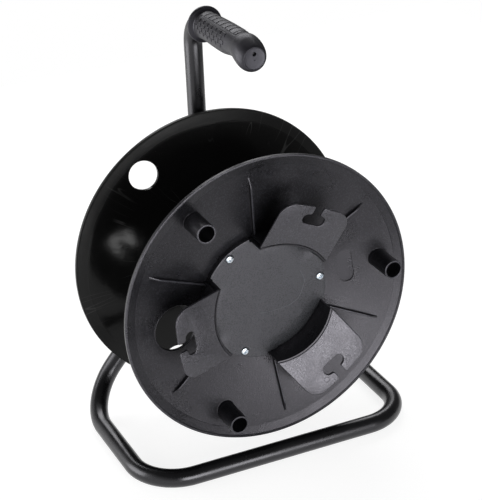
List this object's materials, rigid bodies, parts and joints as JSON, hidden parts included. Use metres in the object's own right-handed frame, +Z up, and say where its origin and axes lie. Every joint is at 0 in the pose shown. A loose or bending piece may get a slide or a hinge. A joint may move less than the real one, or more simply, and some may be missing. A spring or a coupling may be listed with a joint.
{
  "type": "empty cable drum on a tube frame",
  "caption": "Empty plastic cable drum that turns on a bent steel tube stand with a rubber carry grip; catch plates and hollow stubs stand on the front flange.",
  "frame": {"origin": "on the floor, under the middle of the drum and of the base loop", "axes": "+Z up, +Y along the drum axis towards the rear, where the mast stands, so the front looks along -Y"},
  "size_m": [0.3162, 0.2032, 0.4443],
  "materials": {
    "front_flange_plastic": "fine satin grain",
    "rear_flange_plastic": "gloss black",
    "core_plastic": "satin black",
    "cover_plastic": "coarse grain",
    "catch_plastic": "coarse grain",
    "bush_plastic": "plain moulded",
    "frame_paint": "semi-gloss black powder coat",
    "grip_rubber": "moulded, dull",
    "turned_steel": "turned",
    "zinc_plate": "bright zinc"
  },
  "bodies": {
    "frame": {"frame_tube": "frame_paint", "axle_plate": "frame_paint", "spindle": "turned_steel", "rear_thrust_washer": "zinc_plate", "front_thrust_washer": "zinc_plate", "spindle_nut": "zinc_plate", "handle_grip": "grip_rubber"},
    "drum": {"front_flange": "front_flange_plastic", "rear_flange": "rear_flange_plastic", "core_barrel": "core_plastic", "hub_cover": "cover_plastic", "front_bush": "bush_plastic", "rear_bush": "bush_plastic", "cable_catch_1": "catch_plastic", "cable_catch_2": "catch_plastic", "cable_catch_3": "catch_plastic", "cover_screw_1": "zinc_plate", "cover_screw_2": "zinc_plate", "cover_screw_3": "zinc_plate", "front_flange_screw_1": "zinc_plate", "front_flange_screw_2": "zinc_plate", "front_flange_screw_3": "zinc_plate", "rear_flange_screw_1": "zinc_plate", "rear_flange_screw_2": "zinc_plate", "rear_flange_screw_3": "zinc_plate"}
  },
  "joints": [
    {"name": "drum_spin", "type": "hinge", "parent": "frame", "child": "drum", "pos_m": [0, 0, 0.1736], "axis": [0, 1, 0], "continuous": true}
  ]
}
